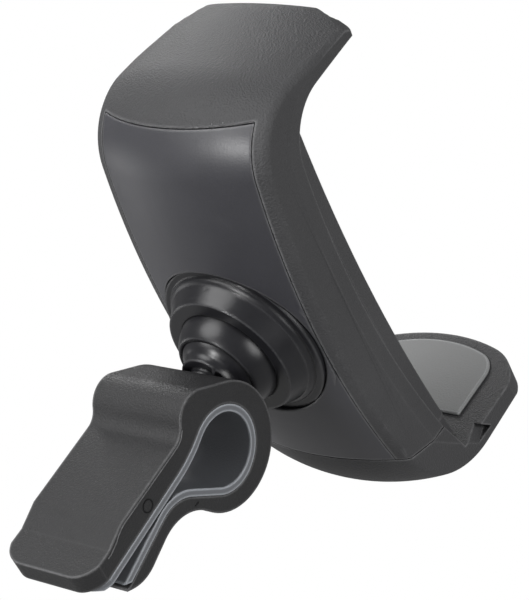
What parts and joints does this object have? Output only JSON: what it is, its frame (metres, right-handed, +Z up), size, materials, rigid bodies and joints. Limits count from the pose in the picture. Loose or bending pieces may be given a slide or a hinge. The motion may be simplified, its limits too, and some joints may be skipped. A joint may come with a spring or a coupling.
{
  "type": "air vent phone holder",
  "caption": "Air vent phone holder: a curved C-shaped cradle with a sprung sliding lower jaw, turning and tilting on a ball joint above a sprung teardrop clip for the vent blade.",
  "frame": {"origin": "middle of the blade slot, where the clip's two leaves pinch the vent blade", "axes": "+Y towards the vent, out of the clip's mouth; -Y towards the phone; +Z up along the cradle; X across"},
  "size_m": [0.0324, 0.0844, 0.08],
  "materials": {
    "frame_plastic": "fine textured black moulding",
    "cover_plastic": "satin black moulding",
    "gloss_plastic": "polished black",
    "clip_plastic": "fine textured black moulding",
    "liner_rubber": "mid grey, matt",
    "pad_rubber": "mid grey, fine grain",
    "steel": "zinc plated"
  },
  "bodies": {
    "clip": {"clip_body": "clip_plastic", "clip_liner": "liner_rubber"},
    "ball": {"ball_stem": "gloss_plastic", "stem_screw": "steel"},
    "seat": {"ball_seat": "gloss_plastic"},
    "cradle": {"front_frame": "frame_plastic", "back_cover": "cover_plastic", "backrest_panel": "frame_plastic", "upper_jaw_pad": "pad_rubber", "jaw_spring_left": "steel", "jaw_spring_right": "steel", "socket_base": "gloss_plastic", "socket_collar": "gloss_plastic", "wave_washer": "steel", "seat_retainer": "cover_plastic", "cover_screw_1": "steel", "cover_screw_2": "steel", "cover_screw_3": "steel", "cover_screw_4": "steel", "socket_screw_1": "steel", "socket_screw_2": "steel", "socket_screw_3": "steel"},
    "jaw": {"lower_jaw": "frame_plastic", "lower_jaw_pad": "pad_rubber"}
  },
  "joints": [
    {"name": "clip_turn", "type": "hinge", "parent": "clip", "child": "ball", "pos_m": [0, -0.028, 0], "axis": [0, 1, 0], "continuous": true},
    {"name": "ball_tilt", "type": "hinge", "parent": "ball", "child": "seat", "pos_m": [0, -0.028, 0], "axis": [1, 0, 0], "range_deg": [-13, 13]},
    {"name": "cradle_swivel", "type": "hinge", "parent": "seat", "child": "cradle", "pos_m": [0, -0.028, 0], "axis": [0, 1, 0], "continuous": true},
    {"name": "jaw_slide", "type": "slide", "parent": "cradle", "child": "jaw", "axis": [0, 0, -1], "range_m": [0, 0.022], "stiffness_N_per_m": 180, "springref_m": -0.012, "deforming": ["jaw_spring_left", "jaw_spring_right"]}
  ]
}
